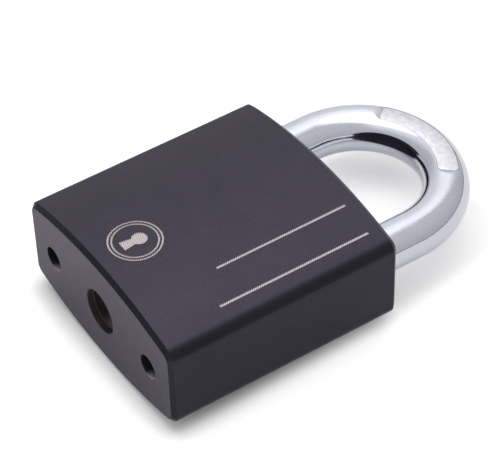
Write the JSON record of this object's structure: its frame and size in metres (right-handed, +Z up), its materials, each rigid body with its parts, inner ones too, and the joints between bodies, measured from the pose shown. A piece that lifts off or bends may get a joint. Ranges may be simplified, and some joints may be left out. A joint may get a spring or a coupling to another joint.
{
  "type": "padlock",
  "caption": "Solid rectangular padlock with a crowned black body, round chromed shackle, recessed keyhole and drain holes; the plug turns, balls lock, and the shackle lifts.",
  "frame": {"origin": "on the floor under the middle of the lock's overall box, with the lock lying on its crowned back", "axes": "+X across the body toward the toe leg of the shackle, +Y from the keyhole face to the shackle bend, +Z up out of the crowned front face"},
  "size_m": [0.05, 0.081, 0.0248],
  "materials": {
    "black_aluminium": "black satin anodised",
    "chrome": "polished chrome plate on hardened steel",
    "brass": "machined",
    "black_nickel": "black nickel plate",
    "steel": "machined",
    "black_steel": "black oxide",
    "spring_steel": "drawn wire and strip",
    "polished_steel": "polished hardened steel"
  },
  "bodies": {
    "lock": {"lock_body": "black_aluminium", "cylinder_housing": "black_nickel", "chamber_cover": "brass", "cylinder_spacer": "steel", "top_plug": "black_aluminium", "top_plug_screw": "black_steel", "shackle_spring": "spring_steel", "pin_spring_1": "spring_steel", "pin_spring_2": "spring_steel", "pin_spring_3": "spring_steel", "pin_spring_4": "spring_steel", "pin_spring_5": "spring_steel"},
    "shackle": {"shackle": "chrome"},
    "plug": {"plug": "brass", "plug_clip": "spring_steel", "locking_cam": "steel"},
    "toe_ball": {"toe_ball": "polished_steel"},
    "heel_ball": {"heel_ball": "polished_steel"},
    "key_pin_1": {"key_pin_1": "brass"},
    "driver_pin_1": {"driver_pin_1": "steel"},
    "key_pin_2": {"key_pin_2": "brass"},
    "driver_pin_2": {"driver_pin_2": "steel"},
    "key_pin_3": {"key_pin_3": "brass"},
    "driver_pin_3": {"driver_pin_3": "steel"},
    "key_pin_4": {"key_pin_4": "brass"},
    "driver_pin_4": {"driver_pin_4": "steel"},
    "key_pin_5": {"key_pin_5": "brass"},
    "driver_pin_5": {"driver_pin_5": "steel"}
  },
  "joints": [
    {"name": "shackle_lift", "type": "slide", "parent": "lock", "child": "shackle", "axis": [0, 1, 0], "range_m": [0, 0.016], "deforming": ["shackle_spring"]},
    {"name": "plug_turn", "type": "hinge", "parent": "lock", "child": "plug", "pos_m": [0, -0.02048, 0.0124], "axis": [0, 1, 0], "range_deg": [-90, 0]},
    {"name": "toe_ball_slide", "type": "slide", "parent": "lock", "child": "toe_ball", "axis": [1, 0, 0], "range_m": [0, 0.0023]},
    {"name": "heel_ball_slide", "type": "slide", "parent": "lock", "child": "heel_ball", "axis": [-1, 0, 0], "range_m": [0, 0.0011]},
    {"name": "key_pin_1_slide", "type": "slide", "parent": "plug", "child": "key_pin_1", "axis": [1, 0, 0], "range_m": [-0.0015, 0]},
    {"name": "driver_pin_1_slide", "type": "slide", "parent": "lock", "child": "driver_pin_1", "axis": [0, 0, 1], "range_m": [0, 0.001], "deforming": ["pin_spring_1"]},
    {"name": "key_pin_2_slide", "type": "slide", "parent": "plug", "child": "key_pin_2", "axis": [1, 0, 0], "range_m": [-0.0003, 0]},
    {"name": "driver_pin_2_slide", "type": "slide", "parent": "lock", "child": "driver_pin_2", "axis": [0, 0, 1], "range_m": [0, 0.001], "deforming": ["pin_spring_2"]},
    {"name": "key_pin_3_slide", "type": "slide", "parent": "plug", "child": "key_pin_3", "axis": [1, 0, 0], "range_m": [-0.0009, 0]},
    {"name": "driver_pin_3_slide", "type": "slide", "parent": "lock", "child": "driver_pin_3", "axis": [0, 0, 1], "range_m": [0, 0.001], "deforming": ["pin_spring_3"]},
    {"name": "key_pin_4_slide", "type": "slide", "parent": "plug", "child": "key_pin_4", "axis": [1, 0, 0], "range_m": [-0.0006, 0]},
    {"name": "driver_pin_4_slide", "type": "slide", "parent": "lock", "child": "driver_pin_4", "axis": [0, 0, 1], "range_m": [0, 0.001], "deforming": ["pin_spring_4"]},
    {"name": "key_pin_5_slide", "type": "slide", "parent": "plug", "child": "key_pin_5", "axis": [1, 0, 0], "range_m": [-0.0012, 0]},
    {"name": "driver_pin_5_slide", "type": "slide", "parent": "lock", "child": "driver_pin_5", "axis": [0, 0, 1], "range_m": [0, 0.001], "deforming": ["pin_spring_5"]}
  ],
  "couplings": [
    {"joint": "toe_ball_slide", "follows": "plug_turn", "m_per_rad": -0.0014636},
    {"joint": "heel_ball_slide", "follows": "plug_turn", "m_per_rad": -0.0006996}
  ]
}
